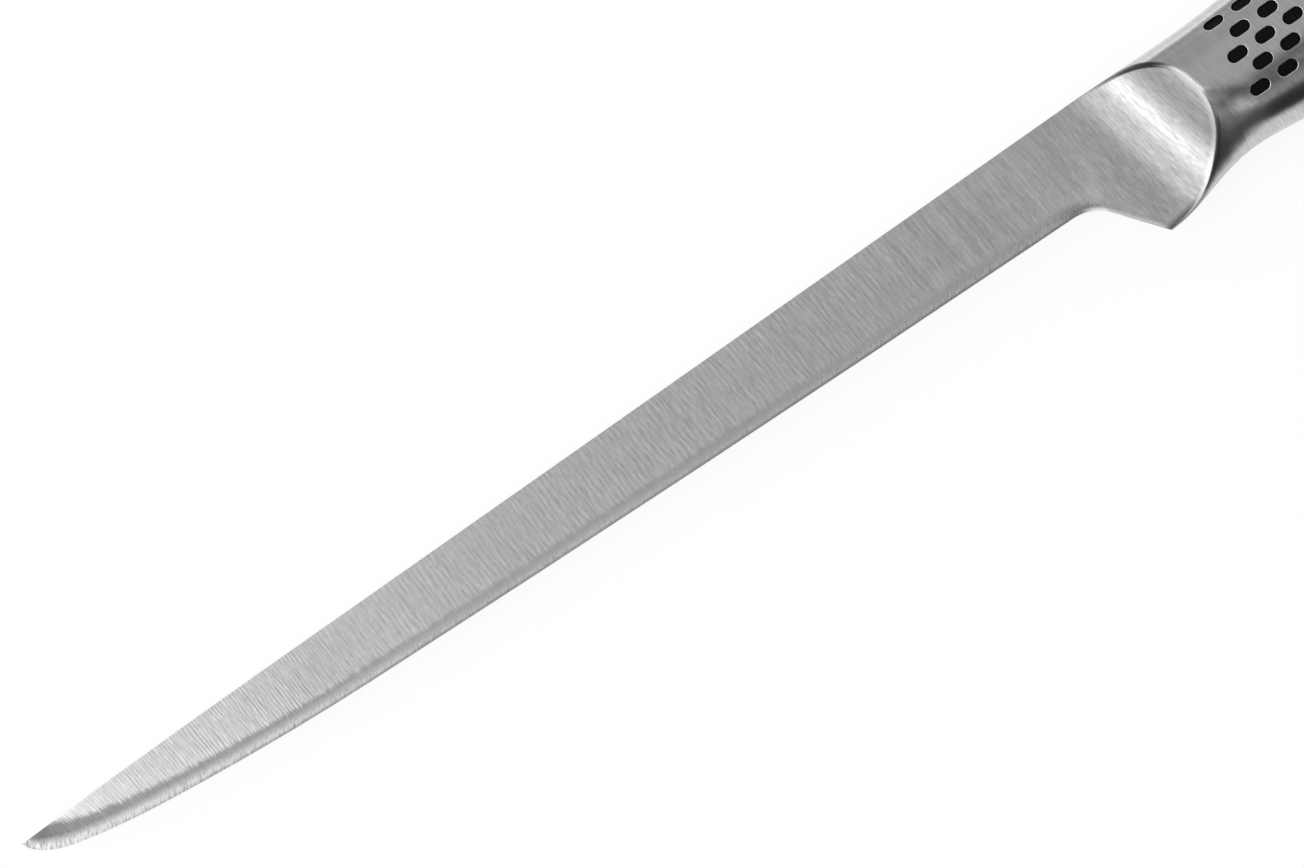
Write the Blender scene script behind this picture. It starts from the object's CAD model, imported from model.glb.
from math import cos, pi, radians, sin, tan

import bmesh
import bpy
import numpy as np
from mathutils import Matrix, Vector


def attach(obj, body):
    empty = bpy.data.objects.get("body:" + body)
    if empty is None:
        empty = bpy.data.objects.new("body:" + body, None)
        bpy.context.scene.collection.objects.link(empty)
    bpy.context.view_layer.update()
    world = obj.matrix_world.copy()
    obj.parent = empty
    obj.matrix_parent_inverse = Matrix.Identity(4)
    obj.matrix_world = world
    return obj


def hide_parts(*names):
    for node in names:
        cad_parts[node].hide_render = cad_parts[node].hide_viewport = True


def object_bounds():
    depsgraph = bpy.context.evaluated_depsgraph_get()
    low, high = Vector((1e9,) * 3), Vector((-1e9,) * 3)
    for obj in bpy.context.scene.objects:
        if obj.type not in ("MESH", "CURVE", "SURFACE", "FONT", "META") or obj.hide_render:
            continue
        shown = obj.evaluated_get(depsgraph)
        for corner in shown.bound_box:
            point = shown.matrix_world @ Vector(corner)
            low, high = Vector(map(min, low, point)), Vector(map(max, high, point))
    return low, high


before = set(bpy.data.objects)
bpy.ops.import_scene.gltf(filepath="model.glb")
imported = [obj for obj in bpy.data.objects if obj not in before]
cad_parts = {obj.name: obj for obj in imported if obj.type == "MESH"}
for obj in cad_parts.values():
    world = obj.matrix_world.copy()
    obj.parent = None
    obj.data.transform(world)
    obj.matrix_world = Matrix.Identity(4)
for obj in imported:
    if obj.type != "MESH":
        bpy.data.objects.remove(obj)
cad_low, cad_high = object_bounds()
MM = 0.001

# The knife lies on its right side: X runs from the tip to the butt, Y from the edge up to the spine
# and Z from the right side to the left side.

# Camera: straight above the knife, turned so that the blade runs down to the left
VIEW_CENTRE = Vector((-48.0, 7.83, 9.0)) * MM
VIEW_WIDTH = 211.5 * MM
VIEW_ROLL = -35.07
LENS_LENGTH = 135.0
SENSOR_WIDTH = 36.0
NEAREST_SEEN = 10 * MM
FARTHEST_SEEN = 20.0

camera_data = bpy.data.cameras.new("camera")
camera_data.lens = LENS_LENGTH
camera_data.sensor_width = SENSOR_WIDTH
camera_data.clip_start = NEAREST_SEEN
camera_data.clip_end = FARTHEST_SEEN
camera = bpy.data.objects.new("camera", camera_data)
camera_height = VIEW_WIDTH * LENS_LENGTH / SENSOR_WIDTH
camera.location = VIEW_CENTRE + Vector((0, 0, camera_height))
camera.rotation_euler = (0, 0, radians(VIEW_ROLL))
bpy.context.collection.objects.link(camera)
bpy.context.scene.camera = camera
bpy.context.scene.view_settings.view_transform = "Standard"

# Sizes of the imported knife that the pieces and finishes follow
TIP_X = cad_low.x
MID_Z = (cad_low.z + cad_high.z) / 2
SCOOP_LEAN = 12.4
SCOOP_SPAN_START = 205.0 * MM
SIDE_FLAT = 8.45 * MM
RIDGE_END = TIP_X + 227.0 * MM
MARKS_FROM = TIP_X + 230.0 * MM
BUTT_FROM = TIP_X + 336.0 * MM

# Noise: the range that most of it lies in, and how rough its finer layers are
NOISE_LOW = 0.3
NOISE_HIGH = 0.7
NOISE_ROUGHNESS = 0.6


def new_material(name):
    """A material with one Principled shader, its node tree and that shader."""
    material = bpy.data.materials.new(name)
    material.use_nodes = True
    tree = material.node_tree
    return material, tree, tree.nodes["Principled BSDF"]


# Values in a material: apart from the first, each function adds nodes to the tree and returns the socket
# that carries its result
def feed(tree, value, socket):
    """Gives a socket its value, which is another socket or a number."""
    if isinstance(value, (int, float)):
        socket.default_value = value
    else:
        tree.links.new(value, socket)


def combine(tree, operation, first, second):
    """Joins two values, each a socket or a number."""
    node = tree.nodes.new("ShaderNodeMath")
    node.operation = operation
    feed(tree, first, node.inputs[0])
    feed(tree, second, node.inputs[1])
    return node.outputs[0]


def plus(tree, first, second):
    return combine(tree, "ADD", first, second)


def minus(tree, first, second):
    return combine(tree, "SUBTRACT", first, second)


def times(tree, first, second):
    return combine(tree, "MULTIPLY", first, second)


def over(tree, first, second):
    return combine(tree, "DIVIDE", first, second)


def without_sign(tree, value):
    return combine(tree, "ABSOLUTE", value, 0.0)


def mix_values(tree, factor, first, second):
    """The first value where the factor is 0, and the second where it is 1."""
    node = tree.nodes.new("ShaderNodeMix")
    for value, socket in ((factor, "Factor"), (first, "A"), (second, "B")):
        feed(tree, value, node.inputs[socket])
    return node.outputs["Result"]


def spread(tree, source, low, high, start=NOISE_LOW, stop=NOISE_HIGH):
    """Maps a range of one value onto a range of another."""
    node = tree.nodes.new("ShaderNodeMapRange")
    node.inputs["From Min"].default_value = start
    node.inputs["From Max"].default_value = stop
    node.inputs["To Min"].default_value = low
    node.inputs["To Max"].default_value = high
    tree.links.new(source, node.inputs["Value"])
    return node.outputs["Result"]


def level_ramp(tree, source, steps):
    """A curve of grey levels along a value from 0 to 1."""
    ramp = tree.nodes.new("ShaderNodeValToRGB")
    tree.links.new(source, ramp.inputs["Fac"])
    stops = ramp.color_ramp.elements
    stops[0].position, stops[1].position = steps[0][0], steps[-1][0]
    for place, level in steps[1:-1]:
        stops.new(place)
    for stop, (place, level) in zip(stops, steps):
        stop.color = (level, level, level, 1)
    return ramp.outputs["Color"]


def graded(tree, source, steps):
    """A value that follows another through pairs of place and value, straight between them."""
    first, last = steps[0][0], steps[-1][0]
    top = max(value for place, value in steps)
    share = spread(tree, source, 0.0, 1.0, first, last)
    scaled = [((place - first) / (last - first), value / top) for place, value in steps]
    return times(tree, level_ramp(tree, share, scaled), top)


def grey(tree, level):
    """A neutral colour from a value."""
    node = tree.nodes.new("ShaderNodeCombineColor")
    for channel in ("Red", "Green", "Blue"):
        tree.links.new(level, node.inputs[channel])
    return node.outputs["Color"]


# Places on the knife
def place_along(tree, axis):
    """One of the piece's own coordinates."""
    apart = tree.nodes.new("ShaderNodeSeparateXYZ")
    tree.links.new(tree.nodes.new("ShaderNodeTexCoord").outputs["Object"], apart.inputs[0])
    return apart.outputs[axis]


def mm_from_tip(tree):
    return over(tree, minus(tree, place_along(tree, "X"), TIP_X), MM)


def mm_of_height(tree):
    return over(tree, place_along(tree, "Y"), MM)


def leaning(tree, slope):
    """The piece's own coordinates, slanted so that lines across the knife lean by the slope given."""
    joined = tree.nodes.new("ShaderNodeCombineXYZ")
    slanted = times(tree, place_along(tree, "Y"), slope)
    tree.links.new(plus(tree, place_along(tree, "X"), slanted), joined.inputs["X"])
    for axis in ("Y", "Z"):
        tree.links.new(place_along(tree, axis), joined.inputs[axis])
    return joined.outputs[0]


def past_line(tree, from_tip, start, end):
    """Distance in mm to the left of a line on the side of the knife, between two points of mm from the
    tip and height."""
    run = Vector(end) - Vector(start)
    out = Vector((-run.y, run.x)).normalized()
    across = times(tree, from_tip, out.x)
    upward = times(tree, place_along(tree, "Y"), out.y / MM)
    return minus(tree, plus(tree, across, upward), out.dot(Vector(start)))


# Marks that the tools leave
def streaks(tree, place, width, length, detail, seed):
    """Noise drawn out into fine parallel lines."""
    mapping = tree.nodes.new("ShaderNodeMapping")
    mapping.vector_type = "TEXTURE"
    mapping.inputs["Scale"].default_value = (width, length, length)
    mapping.inputs["Location"].default_value = (seed * MM, 0, 0)
    tree.links.new(place, mapping.inputs["Vector"])
    noise = tree.nodes.new("ShaderNodeTexNoise")
    noise.inputs["Scale"].default_value = 1.0
    noise.inputs["Detail"].default_value = detail
    noise.inputs["Roughness"].default_value = NOISE_ROUGHNESS
    tree.links.new(mapping.outputs["Vector"], noise.inputs["Vector"])
    return noise.outputs["Fac"]


# How far a belt's even lines wander sideways, and between which strengths they fade
COMB_WANDER = 1.6
COMB_WANDER_SIZE = (1.7 * MM, 5.0 * MM)
COMB_FADES = (0.1, 1.6)
COMB_FADE_SIZE = (2.2 * MM, 2.6 * MM)
COMB_FADE_SEED = 11.0
COMB_DETAIL = 1.0


def comb_lines(tree, place, repeat, seed):
    """Even lines that wander and fade a little, as a grinding belt leaves them, around 0."""
    apart = tree.nodes.new("ShaderNodeSeparateXYZ")
    tree.links.new(place, apart.inputs[0])
    wander = streaks(tree, place, *COMB_WANDER_SIZE, COMB_DETAIL, seed)
    wander = spread(tree, wander, -COMB_WANDER, COMB_WANDER)
    turns = times(tree, apart.outputs["X"], 2.0 * pi / repeat)
    wave = combine(tree, "SINE", plus(tree, turns, wander), 0.0)
    fade = streaks(tree, place, *COMB_FADE_SIZE, COMB_DETAIL, seed + COMB_FADE_SEED)
    return times(tree, wave, spread(tree, fade, *COMB_FADES))


# Steel: the samples that round its edges off, the depth of its lines and the brightest tone that it takes
BEVEL_SAMPLES = 6
LINE_DEPTH = 0.014 * MM
BRIGHTEST = 1.0


def rounded_normal(tree, radius):
    """Softens the look of the edges, as polishing does."""
    node = tree.nodes.new("ShaderNodeBevel")
    node.samples = BEVEL_SAMPLES
    tree.links.new(radius, node.inputs["Radius"])
    return node.outputs["Normal"]


def turned_by(tree, normal, start, stop):
    """How far a rounded normal has turned from the surface, from 0 to 1 between two angles."""
    plain = tree.nodes.new("ShaderNodeNewGeometry").outputs["Normal"]
    node = tree.nodes.new("ShaderNodeVectorMath")
    node.operation = "DOT_PRODUCT"
    tree.links.new(plain, node.inputs[0])
    tree.links.new(normal, node.inputs[1])
    return spread(tree, node.outputs["Value"], 0.0, 1.0, cos(radians(start)), cos(radians(stop)))


def finish_steel(tree, shader, level, roughness, lines, normal):
    """Makes a shader bare steel, with its tone, its roughness and its lines cut into it."""
    shader.inputs["Metallic"].default_value = 1.0
    tree.links.new(grey(tree, combine(tree, "MINIMUM", level, BRIGHTEST)), shader.inputs["Base Color"])
    tree.links.new(roughness, shader.inputs["Roughness"])
    bump = tree.nodes.new("ShaderNodeBump")
    bump.inputs["Strength"].default_value = 1.0
    bump.inputs["Distance"].default_value = LINE_DEPTH
    tree.links.new(lines, bump.inputs["Height"])
    tree.links.new(normal, bump.inputs["Normal"])
    tree.links.new(bump.outputs["Normal"], shader.inputs["Normal"])


# The tables below pair a place with a value. A place is in mm from the tip or, where the values are given
# by height, in mm of height. Depths and lifts say how much of a tone is taken, and reaches how far it goes.

# The ridge between scoop and handle: its height over the mm from the tip, and its mm from the tip over
# the height
RIDGE_HEIGHTS = [
    (205, 12.7), (211, 12.7), (213.2, 12.6), (214.9, 12.46), (216.5, 12.26), (218.1, 11.97), (219.5, 11.58),
    (220.7, 11.08), (221.7, 10.49), (222.6, 9.81), (223.4, 9.06), (224.4, 7.5), (240, 7.5),
]
RIDGE_PLACES = [
    (-13, 214.3), (-12, 216.9), (-10.5, 219.3), (-9.4, 220.5), (-8.1, 221.8), (-6.6, 223.0), (-5.3, 224.0),
    (-4, 224.8), (-2.7, 225.3), (-1.5, 225.7), (0, 225.9), (1, 226.0), (2.6, 225.9), (4.8, 225.4),
    (6.6, 224.8), (8.3, 223.9), (9.8, 222.6), (11.1, 220.7),
]

# The dark crescent that polishing leaves over the ridge's top: its depth and half its width in mm, how
# far above the ridge it lies, and where its edge fades in shares of that half
CRESCENT_DEPTHS = [
    (205, 0.0), (211, 0.0), (215, 0.65), (218, 0.95), (222, 0.95), (223.6, 0.4), (224.6, 0.0), (240, 0.0),
]
CRESCENT_HALVES = [(205, 0.46), (218, 0.5), (221, 0.6), (222.6, 0.62), (224, 0.7), (240, 0.7)]
CRESCENT_RISE = 0.05
CRESCENT_FADE = (0.75, 1.15)
CRESCENT_TONE = 0.03

# The pale strip along the handle's spine, by the share of the surface's normal that points along Y
SPINE_TONES = [
    (0, 1.0), (0.58, 1.0), (0.64, 0.88), (0.68, 0.7), (0.73, 0.55), (0.8, 0.46), (0.835, 0.6), (0.86, 0.95),
    (0.883, 1.3), (0.917, 1.1), (0.945, 1.0), (1, 0.96),
]
SPINE_DEPTHS = [(205, 0.0), (219, 0.0), (222, 1.0), (345, 1.0)]

# The lighter band across the neck, on both sides of a line
BAND_LINE = ((226, 1.5), (231, -2.2))
BAND_FADE = (0.4, 1.5)
BAND_LIFTS = [(205, 0.0), (224, 0.0), (226, 0.8), (228.5, 0.7), (231, 0.0), (345, 0.0)]

# The dark line on the flank behind the neck and the paler band under it, by height
FLANK_TONES = [
    (-13, 1.0), (-6.7, 1.0), (-5.9, 1.15), (-5.1, 1.6), (-4.3, 1.6), (-3.5, 1.3), (-2.7, 0.85), (-1.9, 0.5),
    (-1.1, 0.38), (-0.3, 0.6), (0.5, 0.85), (1.3, 1.0), (12, 1.0),
]
FLANK_DEPTHS = [
    (205, 0.0), (226, 0.0), (227.2, 0.9), (229.5, 1.0), (231, 0.4), (232.5, 0.35), (234.5, 0.9), (240, 1.0),
    (246, 1.0), (258, 0.0), (345, 0.0),
]

# The dark line behind the ridge's lower half and the lighter steel behind it, by height
RIDGE_LINE_REACHES = [(-13, 1.1), (-9, 1.0), (-4, 0.75), (1, 0.65), (12, 0.65)]
RIDGE_LINE_DEPTHS = [(-13, 1.0), (-3, 1.0), (-1, 0.0), (12, 0.0)]
RIDGE_LINE_FADE = (0.8, 1.3)
RIDGE_LINE_TONE = 0.3
BEHIND_LIFTS = [(-13, 0.0), (-8.5, 0.0), (-7, 0.6), (-3, 0.6), (-1.5, 0.0), (12, 0.0)]
BEHIND_END = (226.0, 228.0)

# Handle steel: the width, length, detail and seed of its streaks and of the softer clouds over them, the
# share of those clouds, how the streaks lean, and the roughness and tone from their lows to their highs
HANDLE_STREAKS = (0.26 * MM, 3.4 * MM, 3.0, 0.0)
HANDLE_CLOUDS = (2.2 * MM, 6.0 * MM, 2.0, 40.0)
CLOUD_SHARE = 0.3
HANDLE_LEAN = 0.25
HANDLE_ROUGHNESS = (0.24, 0.18)
HANDLE_TONES = (0.48, 0.63)

# Rounding of the handle's edges: its run-in and run-out along X, and how far it keeps off the middle plane
ROUNDING_RUN = 0.5 * MM
SEAM_CLEARANCE = (0.8 * MM, 1.4 * MM)

# Ridge and recesses: how far they are rounded off, their tones by height, and the angles from which a
# turned edge shows
RIDGE_SHADE = 1.1 * MM
RIDGE_TONES = [(-12, 0.12), (-3, 0.15), (1, 0.6), (8, 0.6), (9.6, 0.1), (13, 0.1)]
RIDGE_TURNS = (2.0, 7.0)
RECESS_ROUNDING = 0.22 * MM
RECESS_TONES = [(-20, 0.95), (20, 0.95)]
RECESS_TURNS = (8.0, 18.0)


def past_ridge(tree, from_tip):
    """Distance along X from the ridge's right side towards the butt, in mm."""
    return minus(tree, from_tip, graded(tree, mm_of_height(tree), RIDGE_PLACES))


def under_crescent(tree, level, from_tip):
    """A tone with the dark crescent over the ridge's top laid on it."""
    above = minus(tree, mm_of_height(tree), graded(tree, from_tip, RIDGE_HEIGHTS))
    off = without_sign(tree, minus(tree, above, CRESCENT_RISE))
    share = over(tree, off, graded(tree, from_tip, CRESCENT_HALVES))
    depth = graded(tree, from_tip, CRESCENT_DEPTHS)
    on_crescent = times(tree, spread(tree, share, 1.0, 0.0, *CRESCENT_FADE), depth)
    return mix_values(tree, on_crescent, level, CRESCENT_TONE)


def with_spine_and_flank(tree, level, from_tip):
    """The handle's tone with the pale strip along its spine, the band at its neck and its flank's lines."""
    upward = tree.nodes.new("ShaderNodeSeparateXYZ")
    tree.links.new(tree.nodes.new("ShaderNodeNewGeometry").outputs["Normal"], upward.inputs[0])
    strip = graded(tree, upward.outputs["Y"], SPINE_TONES)
    level = times(tree, level, mix_values(tree, graded(tree, from_tip, SPINE_DEPTHS), 1.0, strip))
    off_band = without_sign(tree, past_line(tree, from_tip, *BAND_LINE))
    on_band = spread(tree, off_band, 1.0, 0.0, *BAND_FADE)
    lift = times(tree, on_band, graded(tree, from_tip, BAND_LIFTS))
    level = times(tree, level, plus(tree, lift, 1.0))
    flank = graded(tree, mm_of_height(tree), FLANK_TONES)
    return times(tree, level, mix_values(tree, graded(tree, from_tip, FLANK_DEPTHS), 1.0, flank))


def with_ridge_lines(tree, level, from_tip):
    """The bolster's tone with the dark line behind the ridge, the lighter steel there and the crescent."""
    height = mm_of_height(tree)
    behind = spread(tree, from_tip, 1.0, 0.0, *BEHIND_END)
    lift = times(tree, behind, graded(tree, height, BEHIND_LIFTS))
    level = times(tree, level, plus(tree, lift, 1.0))
    share = over(tree, past_ridge(tree, from_tip), graded(tree, height, RIDGE_LINE_REACHES))
    on_line = spread(tree, share, 1.0, 0.0, *RIDGE_LINE_FADE)
    on_line = times(tree, on_line, graded(tree, height, RIDGE_LINE_DEPTHS))
    level = mix_values(tree, on_line, level, RIDGE_LINE_TONE)
    return under_crescent(tree, level, from_tip)


def satin_handle_steel(name, rounding, rounded_from, rounded_to, edge_tones, edge_turns, beside_ridge):
    """Handle steel: short fine streaks across it. Its edges are rounded off between two places on X,
    and their tone follows the height. The bolster's steel also has the lines beside the ridge."""
    material, tree, shader = new_material(name)
    place = leaning(tree, HANDLE_LEAN)
    fine = streaks(tree, place, *HANDLE_STREAKS)
    lines = mix_values(tree, CLOUD_SHARE, fine, streaks(tree, place, *HANDLE_CLOUDS))
    along = place_along(tree, "X")
    after = spread(tree, along, 0.0, 1.0, rounded_from, rounded_from + ROUNDING_RUN)
    before = spread(tree, along, 1.0, 0.0, rounded_to - ROUNDING_RUN, rounded_to)
    off_middle = without_sign(tree, minus(tree, place_along(tree, "Z"), MID_Z))
    where = times(tree, times(tree, after, before), spread(tree, off_middle, 0.0, 1.0, *SEAM_CLEARANCE))
    normal = rounded_normal(tree, times(tree, where, rounding))
    at_edge = turned_by(tree, normal, *edge_turns)
    edge_tone = graded(tree, mm_of_height(tree), edge_tones)
    level = mix_values(tree, at_edge, spread(tree, lines, *HANDLE_TONES), edge_tone)
    from_tip = mm_from_tip(tree)
    level = with_spine_and_flank(tree, level, from_tip)
    if beside_ridge:
        level = with_ridge_lines(tree, level, from_tip)
    finish_steel(tree, shader, level, spread(tree, lines, *HANDLE_ROUGHNESS), lines, normal)
    return material


# Blade steel: the width, length, detail and seed of the marks on its flats, of their broad bands, of the
# mottle between them and of the bites in the cut edge, and the share of the broad bands
FINE_LINES = (0.28 * MM, 2.4 * MM, 3.0, 0.0)
BROAD_LINES = (1.3 * MM, 16.0 * MM, 2.0, 40.0)
MOTTLE = (0.5 * MM, 0.8 * MM, 2.0, 120.0)
BITES = (0.2 * MM, 1.0 * MM, 3.0, 80.0)
BROAD_SHARE = 0.2
BITE_LEAN = -0.5

# Grinding lines over the flats and scoop: how much they lean, and how strong each kind of mark is
LINE_SLOPES = [
    (0, 0.2), (25, 0.12), (38, 0.06), (52, 0.06), (70, 0.03), (95, 0.02), (125, 0.075), (195, 0.105),
    (208, 0.11), (213, 0.13), (219, 0.23), (240, 0.23),
]
LINE_STRENGTHS = [
    (0, 0.09), (12, 0.1), (25, 0.14), (45, 0.19), (60, 0.16), (75, 0.13), (95, 0.13), (125, 0.17),
    (150, 0.16), (175, 0.14), (200, 0.14), (211, 0.22), (219, 0.2), (240, 0.22),
]
LINE_NOISE = (0.34, 0.66)
BROAD_STRENGTHS = [(0, 0.0), (150, 0.0), (172, 0.07), (200, 0.07), (212, 0.0), (240, 0.0)]
MOTTLE_STRENGTH = 0.06
FINE_COMB_STRENGTHS = [(0, 0.03), (8, 0.05), (18, 0.12), (35, 0.19), (48, 0.19), (65, 0.0), (240, 0.0)]
WIDE_COMB_STRENGTHS = [(0, 0.0), (48, 0.0), (70, 0.08), (150, 0.095), (180, 0.06), (215, 0.0), (240, 0.0)]
COMBS = ((0.56 * MM, FINE_COMB_STRENGTHS, 5.0), (0.95 * MM, WIDE_COMB_STRENGTHS, 25.0))

# Tone of the flats and scoop, which is lighter along the bevel
FLAT_TONES = [
    (0, 0.66), (20, 0.645), (40, 0.635), (55, 0.585), (70, 0.59), (90, 0.55), (130, 0.55), (185, 0.54),
    (195, 0.56), (206, 0.515), (212, 0.52), (217, 0.57), (240, 0.57),
]
SCOOP_TONES = [(0, 1.0), (209, 1.0), (213, 0.95), (215, 0.86), (217.5, 0.97), (240, 1.0)]
BESIDE_BEVEL_TONE = 1.08
BESIDE_BEVEL = (2.9 * MM, 7.0 * MM)

# The bevel's dark band: its height above the edge, how far the lines comb into it, where it fades in
# shares of that height, and its tone and grain
BEVEL_REACHES = [
    (0, 4.4), (6, 4.3), (11, 3.85), (20, 3.4), (30, 3.1), (55, 2.7), (80, 2.45), (140, 2.4), (190, 2.7),
    (197, 2.5), (201, 0.01), (240, 0.01),
]
BEVEL_COMBING = 0.35 * MM
BEVEL_FADE = (0.86, 1.08)
BEVEL_TONES = [
    (0, 0.13), (4, 0.16), (6, 0.23), (9, 0.285), (12, 0.31), (20, 0.355), (30, 0.385), (55, 0.45),
    (70, 0.51), (100, 0.53), (140, 0.56), (160, 0.62), (240, 0.64),
]
BEVEL_GRAIN = (0.9, 1.1)
BEVEL_MOTTLE = 0.08

# The cut edge: its height, which shrinks towards the point, how ragged its border is, its tone and bites
CUT_HEIGHT = 1.5 * MM
CUT_FADE = 0.75 * MM
CUT_RAGGEDNESS = 0.4 * MM
CUT_LENGTHS = [(0, 1.0), (202, 1.0), (205, 0.0), (240, 0.0)]
POINT_NARROWING = [(0, 1.5), (2, 1.3), (4, 1.0), (240, 1.0)]
CUT_TONES = [
    (0, 0.45), (2, 0.7), (3.5, 0.85), (6, 0.95), (12, 1.05), (20, 1.06), (30, 1.03), (40, 1.0), (55, 0.93),
    (70, 0.84), (85, 0.76), (110, 0.81), (125, 0.74), (140, 0.74), (185, 0.71), (195, 0.7), (198, 0.45),
    (200, 0.32), (240, 0.32),
]
CUT_BITES = [(0, 0.6), (35, 0.55), (70, 0.32), (100, 0.26), (160, 0.26), (190, 0.4), (240, 0.4)]
BITE_HEIGHT = 2.0

# The thin dark line along the very edge
RIM_BAND = (0.2 * MM, 0.6 * MM)
RIM_DEPTHS = [
    (0, 0.0), (10, 0.1), (18, 0.4), (30, 0.55), (45, 0.62), (120, 0.62), (150, 0.75), (201, 0.75),
    (204, 0.0), (240, 0.0),
]
RIM_TONE = 0.34

# The bright line round the finger notch, and the dark and bright lines above the heel's lower edge. The
# notch is followed by its distance from the edge and, beyond its end, by its straight line.
NOTCH_LINE = ((203.79, -5.67), (210.08, -13.57))
NOTCH_END = (204.0, 204.4)
NOTCH_DEPTHS = [(0, 0.0), (199.5, 0.0), (201, 0.9), (209, 0.9), (211, 0.0), (240, 0.0)]
NOTCH_SHINE = 0.88
NOTCH_SHINE_FADE = (0.25, 0.75)
HEEL_LINE = ((210.08, -13.57), (217.3, -12.37))
HEEL_DEPTHS = [(0, 0.0), (208, 0.0), (210, 1.0), (240, 1.0)]
HEEL_SHADE = 0.22
HEEL_SHADE_FADE = (0.45, 1.35)
HEEL_SHINE = 0.7
HEEL_SHINE_FADE = (0.1, 0.22)

# The bright rim of the scoop before the ridge, by height, and the rounding of the ridge
SCOOP_RIM_REACHES = [(-13, 1.25), (-8, 1.05), (-4, 0.85), (0, 0.75), (6, 0.8), (12, 0.9)]
SCOOP_RIM_DEPTHS = [(-13, 0.65), (5, 0.75), (7.5, 0.4), (8.8, 0.0), (12, 0.0)]
SCOOP_RIM_FADE = (0.25, 1.25)
SCOOP_RIM_TONE = 1.0
RIDGE_ROUNDING = 0.5 * MM
RIDGE_ROUNDED = [(0, 0.0), (204, 0.0), (209, 1.0), (240, 1.0)]

# Roughness from the lows to the highs of the marks
FLAT_ROUGHNESS = (0.33, 0.27)
CUT_ROUGHNESS = (0.5, 0.36)


def edge_distance(tree):
    """Distance from the cutting edge and the curve behind it, as kept on the blade's points."""
    node = tree.nodes.new("ShaderNodeAttribute")
    node.attribute_name = "from_edge"
    return node.outputs["Fac"]


def ground_flat(tree, place, lines, broad, mottle, from_tip, from_edge):
    """Tone of the flats and scoop: their steel and the marks of the belt on it."""
    line_noise = spread(tree, lines, -1.0, 1.0, *LINE_NOISE)
    swing = times(tree, line_noise, graded(tree, from_tip, LINE_STRENGTHS))
    bands = times(tree, spread(tree, broad, -1.0, 1.0), graded(tree, from_tip, BROAD_STRENGTHS))
    mottling = spread(tree, mottle, -MOTTLE_STRENGTH, MOTTLE_STRENGTH)
    swing = plus(tree, plus(tree, swing, bands), mottling)
    for repeat, strengths, seed in COMBS:
        comb = comb_lines(tree, place, repeat, seed)
        swing = plus(tree, swing, times(tree, comb, graded(tree, from_tip, strengths)))
    slanted = tree.nodes.new("ShaderNodeSeparateXYZ")
    tree.links.new(place, slanted.inputs[0])
    into_scoop = over(tree, minus(tree, slanted.outputs["X"], TIP_X), MM)
    tone = times(tree, graded(tree, from_tip, FLAT_TONES), graded(tree, into_scoop, SCOOP_TONES))
    tone = times(tree, tone, spread(tree, from_edge, BESIDE_BEVEL_TONE, 1.0, *BESIDE_BEVEL))
    return times(tree, tone, plus(tree, swing, 1.0))


def with_notch_and_heel(tree, level, from_tip, from_edge):
    """The blade's tone with the lines round the finger notch and above the heel's lower edge."""
    past_notch = spread(tree, from_tip, 0.0, 1.0, *NOTCH_END)
    above_notch = past_line(tree, from_tip, *NOTCH_LINE)
    above_notch = mix_values(tree, past_notch, over(tree, from_edge, MM), above_notch)
    at_notch = graded(tree, from_tip, NOTCH_DEPTHS)
    above_heel = past_line(tree, from_tip, *HEEL_LINE)
    at_heel = graded(tree, from_tip, HEEL_DEPTHS)
    for above, depth, fade, tone in (
        (above_notch, at_notch, NOTCH_SHINE_FADE, NOTCH_SHINE),
        (above_heel, at_heel, HEEL_SHADE_FADE, HEEL_SHADE),
        (above_heel, at_heel, HEEL_SHINE_FADE, HEEL_SHINE),
    ):
        on_line = times(tree, spread(tree, above, 1.0, 0.0, *fade), depth)
        level = mix_values(tree, on_line, level, tone)
    return level


def with_scoop_rim(tree, level, from_tip):
    """The blade's tone with the bright rim of the scoop and the crescent over the ridge."""
    height = mm_of_height(tree)
    before = times(tree, past_ridge(tree, from_tip), -1.0)
    share = over(tree, before, graded(tree, height, SCOOP_RIM_REACHES))
    on_rim = spread(tree, share, 1.0, 0.0, *SCOOP_RIM_FADE)
    on_rim = times(tree, on_rim, graded(tree, height, SCOOP_RIM_DEPTHS))
    level = mix_values(tree, on_rim, level, SCOOP_RIM_TONE)
    return under_crescent(tree, level, from_tip)


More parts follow.
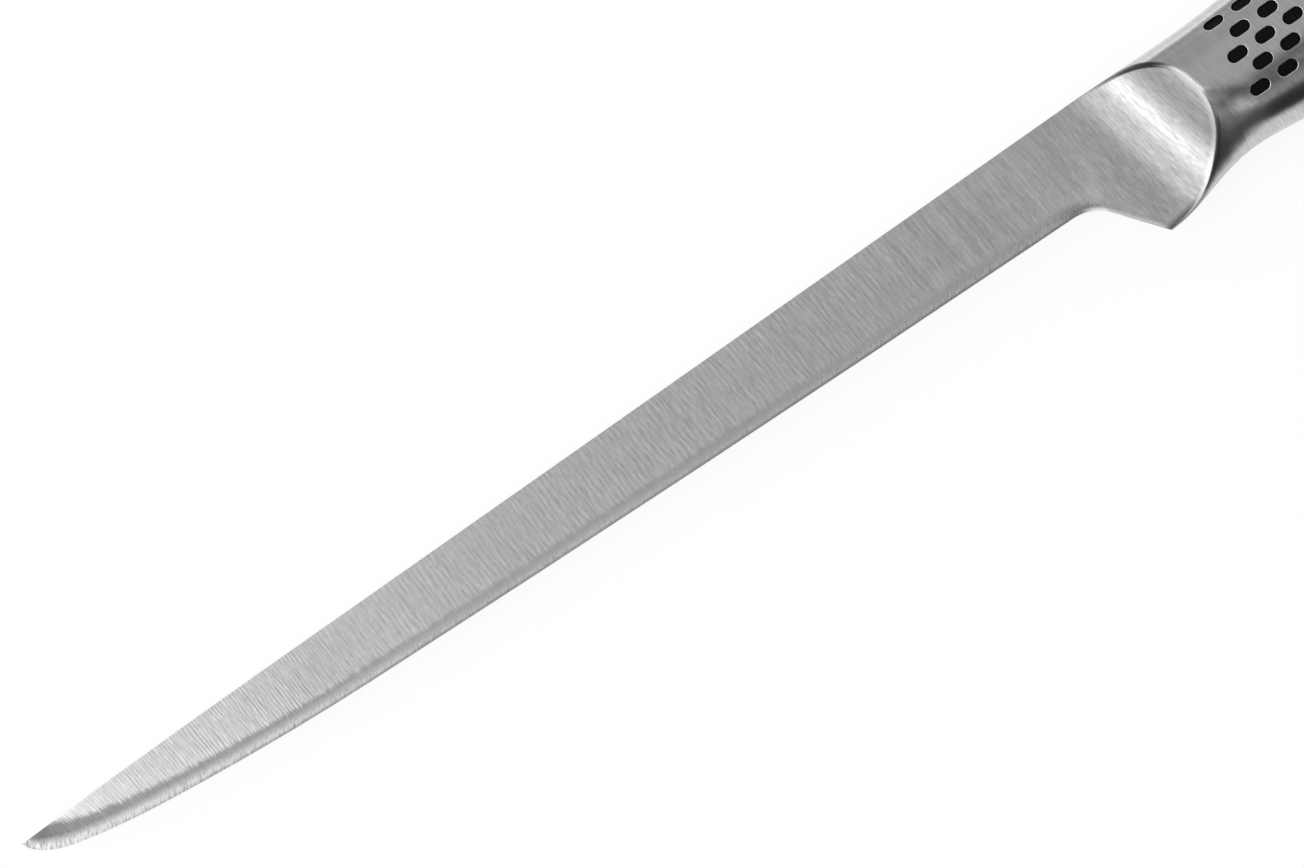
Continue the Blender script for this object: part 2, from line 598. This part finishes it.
def ground_blade_steel():
    """Blade steel: grinding lines across the flats and scoop, a smoother bevel and a coarse cut edge."""
    material, tree, shader = new_material("ground_blade_steel")
    from_tip = mm_from_tip(tree)
    from_edge = edge_distance(tree)
    place = leaning(tree, graded(tree, from_tip, LINE_SLOPES))
    fine = streaks(tree, place, *FINE_LINES)
    broad = streaks(tree, place, *BROAD_LINES)
    mottle = streaks(tree, place, *MOTTLE)
    bites = streaks(tree, leaning(tree, BITE_LEAN), *BITES)
    lines = mix_values(tree, BROAD_SHARE, fine, broad)

    # Where the bevel's band, the cut edge and the dark line on it lie
    combed = plus(tree, from_edge, spread(tree, fine, -BEVEL_COMBING, BEVEL_COMBING))
    reach = times(tree, graded(tree, from_tip, BEVEL_REACHES), MM)
    on_bevel = spread(tree, over(tree, combed, reach), 1.0, 0.0, *BEVEL_FADE)
    narrowed = times(tree, from_edge, graded(tree, from_tip, POINT_NARROWING))
    ragged = plus(tree, narrowed, spread(tree, bites, -CUT_RAGGEDNESS, CUT_RAGGEDNESS))
    on_cut = spread(tree, ragged, 1.0, 0.0, CUT_HEIGHT - CUT_FADE, CUT_HEIGHT + CUT_FADE)
    on_cut = times(tree, on_cut, graded(tree, from_tip, CUT_LENGTHS))
    on_rim = spread(tree, from_edge, 1.0, 0.0, *RIM_BAND)
    on_rim = times(tree, on_rim, graded(tree, from_tip, RIM_DEPTHS))

    # Their tones
    flat = ground_flat(tree, place, lines, broad, mottle, from_tip, from_edge)
    mottling = spread(tree, mottle, -BEVEL_MOTTLE, BEVEL_MOTTLE)
    grain = plus(tree, spread(tree, fine, *BEVEL_GRAIN), mottling)
    bevel = times(tree, graded(tree, from_tip, BEVEL_TONES), grain)
    bite = times(tree, spread(tree, bites, -1.0, 1.0), graded(tree, from_tip, CUT_BITES))
    cut = times(tree, graded(tree, from_tip, CUT_TONES), plus(tree, bite, 1.0))
    level = mix_values(tree, on_cut, mix_values(tree, on_bevel, flat, bevel), cut)
    level = mix_values(tree, on_rim, level, RIM_TONE)
    level = with_notch_and_heel(tree, level, from_tip, from_edge)
    level = with_scoop_rim(tree, level, from_tip)

    roughness = mix_values(
        tree, on_cut, spread(tree, lines, *FLAT_ROUGHNESS), spread(tree, bites, *CUT_ROUGHNESS)
    )
    marks = mix_values(tree, on_cut, lines, times(tree, bites, BITE_HEIGHT))
    radius = times(tree, graded(tree, from_tip, RIDGE_ROUNDED), RIDGE_ROUNDING)
    finish_steel(tree, shader, level, roughness, marks, rounded_normal(tree, radius))
    return material


# Recess black: the width, length, detail and seed of its speckle, its sheen, and the tone and roughness
# from the speckle's lows to its highs
SPECKLE = (0.3 * MM, 0.3 * MM, 3.0, 7.0)
BLACK_SHEEN = 0.1
BLACK_TONES = (0.001, 0.006)
BLACK_ROUGHNESS = (0.65, 0.5)


def matte_black():
    """The black coating in the grip recesses."""
    material, tree, shader = new_material("recess_black")
    speckle = streaks(tree, leaning(tree, 0.0), *SPECKLE)
    shader.inputs["Specular IOR Level"].default_value = BLACK_SHEEN
    tree.links.new(grey(tree, spread(tree, speckle, *BLACK_TONES)), shader.inputs["Base Color"])
    tree.links.new(spread(tree, speckle, *BLACK_ROUGHNESS), shader.inputs["Roughness"])
    return material


# Sand: the width, length, detail and seed of its grains, where in the noise they turn pale, and colours
GRAINS = (0.4 * MM, 0.4 * MM, 2.0, 3.0)
GRAIN_STEPS = ((0.35, (0.34, 0.27, 0.18, 1)), (0.65, (0.66, 0.58, 0.44, 1)))
SAND_ROUGHNESS = (0.9, 0.75)


def dry_sand():
    """The sand sealed in the handle: pale grains of mixed tone."""
    material, tree, shader = new_material("dry_sand")
    grain = streaks(tree, leaning(tree, 0.0), *GRAINS)
    colour = tree.nodes.new("ShaderNodeValToRGB")
    for stop, (place, tone) in zip(colour.color_ramp.elements, GRAIN_STEPS):
        stop.position, stop.color = place, tone
    tree.links.new(grain, colour.inputs["Fac"])
    tree.links.new(colour.outputs["Color"], shader.inputs["Base Color"])
    tree.links.new(spread(tree, grain, *SAND_ROUGHNESS), shader.inputs["Roughness"])
    return material


bolster_steel = satin_handle_steel(
    "satin_bolster_steel", RIDGE_SHADE, TIP_X, RIDGE_END, RIDGE_TONES, RIDGE_TURNS, beside_ridge=True
)
handle_steel = satin_handle_steel(
    "satin_handle_steel", RECESS_ROUNDING, MARKS_FROM, BUTT_FROM, RECESS_TONES, RECESS_TURNS,
    beside_ridge=False,
)
blade_steel = ground_blade_steel()
recess_black = matte_black()
sand = dry_sand()

# Pieces
SHARP_ANGLE = 25.0
SAME_PLACE = 0.0005 * MM


def working_copy(name, node):
    """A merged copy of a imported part, on the knife's body, that is shown in its place."""
    piece = bpy.data.objects.new(name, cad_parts[node].data.copy())
    piece.data.name = name
    piece.data.materials.clear()
    bpy.context.collection.objects.link(piece)
    bpy.ops.object.select_all(action="DESELECT")
    bpy.context.view_layer.objects.active = piece
    piece.select_set(True)
    bpy.ops.mesh.customdata_custom_splitnormals_clear()
    bpy.ops.object.mode_set(mode="EDIT")
    bpy.ops.mesh.select_all(action="SELECT")
    bpy.ops.mesh.remove_doubles(threshold=SAME_PLACE)
    bpy.ops.object.mode_set(mode="OBJECT")
    bpy.ops.object.shade_smooth_by_angle(angle=radians(SHARP_ANGLE))
    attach(piece, "root")
    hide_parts(node)
    return piece


# Blade: flats, bevels and scoop, and the bolster behind the ridge. Past the scoop's start, a face is the
# bolster's if it slopes along the direction in which the scoop is straight, or lies out on the side.
SCOOP_SLOPE = 0.06
blade = working_copy("ground_blade", "blade")
for finish in (blade_steel, bolster_steel):
    blade.data.materials.append(finish)
scoop_direction = Vector((tan(radians(SCOOP_LEAN)), -1, 0)).normalized()
for face in blade.data.polygons:
    if face.center.x - TIP_X > SCOOP_SPAN_START:
        sloping = abs(face.normal.dot(scoop_direction)) > SCOOP_SLOPE
        on_side = abs(face.center.z - MID_Z) > SIDE_FLAT
        face.material_index = 1 if sloping or on_side else 0

# Distance of each point of the blade from its cutting edge and the curve behind it. The edge is read from
# the points by the middle plane, and the curve from the faces that look down.
EDGE_BAND = 0.048 * MM
EDGE_LENGTH = 199.0 * MM
NOTCH_LENGTH = 206.0 * MM
FACES_DOWN = 0.5
SHORTEST_RUN = 1e-18
points = np.empty(len(blade.data.vertices) * 3)
blade.data.vertices.foreach_get("co", points)
points = points.reshape(-1, 3)
along = points[:, 0] - TIP_X
on_edge = (abs(points[:, 2] - MID_Z) < EDGE_BAND) & (along < EDGE_LENGTH)
on_curve = np.zeros(len(points), bool)
for face in blade.data.polygons:
    if face.normal.y < -FACES_DOWN and abs(face.normal.z) < FACES_DOWN:
        on_curve[list(face.vertices)] = True
on_curve &= (along >= EDGE_LENGTH) & (along < NOTCH_LENGTH)
edge_points = points[on_edge | on_curve][:, :2]
edge_points = edge_points[np.argsort(edge_points[:, 0])]
starts, ends = edge_points[:-1], edge_points[1:]
runs = ends - starts
lengths = np.maximum((runs**2).sum(1), SHORTEST_RUN)
offsets = points[:, None, :2] - starts[None]
shares = np.clip((offsets * runs).sum(2) / lengths, 0, 1)
nearest = np.linalg.norm(offsets - shares[..., None] * runs, axis=2).min(1)
values = blade.data.attributes.new("from_edge", "FLOAT", "POINT")
values.data.foreach_set("value", nearest.astype(np.float32))

# Handle halves: steel skins with black in their recesses
FOLD_ANGLE = 35.0
MARK_SPAN = 6.5 * MM
CLEAR_OF_SEAM = 3.0 * MM


def small_hollows(mesh):
    """Faces of the patches between folds that are no longer than a grip mark and clear of the seams."""
    shape = bmesh.new()
    shape.from_mesh(mesh)
    waiting = set(shape.faces)
    found = []
    while waiting:
        patch, edge_of_patch = [], [waiting.pop()]
        while edge_of_patch:
            face = edge_of_patch.pop()
            patch.append(face)
            for edge in face.edges:
                if edge.calc_face_angle(pi) < radians(FOLD_ANGLE):
                    for other in edge.link_faces:
                        if other in waiting:
                            waiting.remove(other)
                            edge_of_patch.append(other)
        corners = np.array([corner.co for face in patch for corner in face.verts])
        low, high = corners.min(axis=0), corners.max(axis=0)
        clear = min(abs(low[2] - MID_Z), abs(high[2] - MID_Z)) > CLEAR_OF_SEAM
        if clear and (high - low).max() < MARK_SPAN and low[0] > MARKS_FROM:
            found.extend(face.index for face in patch)
    shape.free()
    return found


for side in ("left", "right"):
    skin = working_copy(f"handle_skin_{side}", f"handle_shell_{side}")
    skin.data.materials.append(handle_steel)
    skin.data.materials.append(recess_black)
    for index in small_hollows(skin.data):
        skin.data.polygons[index].material_index = 1

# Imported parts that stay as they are, in the same finishes
finishes = {
    "neck_weld": handle_steel,
    "spine_seam_weld": handle_steel,
    "belly_seam_weld": handle_steel,
    "fill_plug": handle_steel,
    "sand_fill": sand,
    "grip_coating_left": recess_black,
    "grip_coating_right": recess_black,
}
for node, finish in finishes.items():
    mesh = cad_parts[node].data
    mesh.materials.clear()
    mesh.materials.append(finish)

# Floor: white to the camera and in the steel, where it glows and takes a faint shadow, and pale to the
# light that it throws back
FLOOR_SIZE = 4.0
FLOOR_SHADOWED = (0.22, 0.22, 0.22, 1)
FLOOR_GLOW = 0.852
FLOOR_PALE = (0.8, 0.8, 0.8, 1)
bpy.ops.object.select_all(action="DESELECT")
bpy.ops.mesh.primitive_plane_add(size=FLOOR_SIZE, location=(0, 0, 0))
floor = bpy.context.object
floor.name = "floor"
material, tree, shader = new_material("white_floor")
tree.nodes.remove(shader)
shadowed = tree.nodes.new("ShaderNodeBsdfDiffuse")
shadowed.inputs["Color"].default_value = FLOOR_SHADOWED
glow = tree.nodes.new("ShaderNodeEmission")
glow.inputs["Strength"].default_value = FLOOR_GLOW
white = tree.nodes.new("ShaderNodeAddShader")
pale = tree.nodes.new("ShaderNodeBsdfDiffuse")
pale.inputs["Color"].default_value = FLOOR_PALE
choose = tree.nodes.new("ShaderNodeMixShader")
ray = tree.nodes.new("ShaderNodeLightPath").outputs
seen = combine(tree, "MAXIMUM", ray["Is Camera Ray"], ray["Is Glossy Ray"])
seen = combine(tree, "MAXIMUM", seen, ray["Is Transmission Ray"])
tree.links.new(shadowed.outputs[0], white.inputs[0])
tree.links.new(glow.outputs[0], white.inputs[1])
tree.links.new(seen, choose.inputs[0])
tree.links.new(pale.outputs[0], choose.inputs[1])
tree.links.new(white.outputs[0], choose.inputs[2])
tree.links.new(choose.outputs[0], tree.nodes["Material Output"].inputs["Surface"])
floor.data.materials.append(material)

# World: a grey studio. Its levels follow how far a direction looks up, towards the blade's edge and
# towards the tip. On the edge's side it has a dark gap and a dark wall, and near the horizon a pale glow.
ROOM_LEVELS = [(0.0, 0.42), (0.35, 0.5), (0.75, 0.47), (1.0, 0.56)]
EDGE_SIDE_LEVELS = [
    (0.0, 1.0), (0.3, 0.95), (0.38, 0.25), (0.5, 0.22), (0.62, 0.45), (0.74, 0.48), (0.82, 0.08),
    (1.0, 0.03),
]
TIP_SIDE_LEVELS = [
    (0.0, 0.28), (0.13, 0.3), (0.18, 0.9), (0.27, 0.9), (0.36, 0.5), (0.8, 0.45), (0.92, 0.38), (1.0, 0.5),
]
TIP_SIDE_TOP = 3.6
HORIZON_LEVELS = [(0.0, 0.45), (0.08, 0.4), (0.16, 0.0), (1.0, 0.0)]
world = bpy.data.worlds.new("studio")
bpy.context.scene.world = world
world.use_nodes = True
tree = world.node_tree
parts = tree.nodes.new("ShaderNodeSeparateXYZ")
tree.links.new(tree.nodes.new("ShaderNodeTexCoord").outputs["Generated"], parts.inputs[0])
room = level_ramp(tree, parts.outputs["Z"], ROOM_LEVELS)
horizon = level_ramp(tree, parts.outputs["Z"], HORIZON_LEVELS)
tip_side = level_ramp(tree, times(tree, parts.outputs["X"], -1.0), TIP_SIDE_LEVELS)
edge_side = level_ramp(tree, times(tree, parts.outputs["Y"], -1.0), EDGE_SIDE_LEVELS)
walls = times(tree, edge_side, times(tree, tip_side, TIP_SIDE_TOP))
background = tree.nodes["Background"]
background.inputs["Color"].default_value = (1, 1, 1, 1)
tree.links.new(plus(tree, times(tree, room, walls), horizon), background.inputs["Strength"])

# Softbox: a rectangular lamp that leans from straight above towards the tip, turned about Z to stand
# square to the scoop and moved sideways
SOFTBOX_LEAN = 38.0
SOFTBOX_TURN = SCOOP_LEAN
SOFTBOX_DISTANCE = 1.3
SOFTBOX_SHIFT = 0.285
SOFTBOX_SIZE = (0.44, 0.95)
SOFTBOX_BRIGHTNESS = 2.1
lamp = bpy.data.lights.new("softbox_tip_side", "AREA")
lamp.shape = "RECTANGLE"
lamp.size, lamp.size_y = SOFTBOX_SIZE
lamp.energy = SOFTBOX_BRIGHTNESS * SOFTBOX_SIZE[0] * SOFTBOX_SIZE[1] * pi
softbox = bpy.data.objects.new("softbox_tip_side", lamp)
lean, turn = radians(SOFTBOX_LEAN), radians(SOFTBOX_TURN)
out = Vector((-cos(turn), -sin(turn), 0))
sideways = Vector((-sin(turn), cos(turn), 0))
upright = Vector((0, 0, 1)) * cos(lean)
softbox.location = (out * sin(lean) + upright) * SOFTBOX_DISTANCE + sideways * SOFTBOX_SHIFT
softbox.rotation_euler = (0, -lean, turn)
bpy.context.collection.objects.link(softbox)
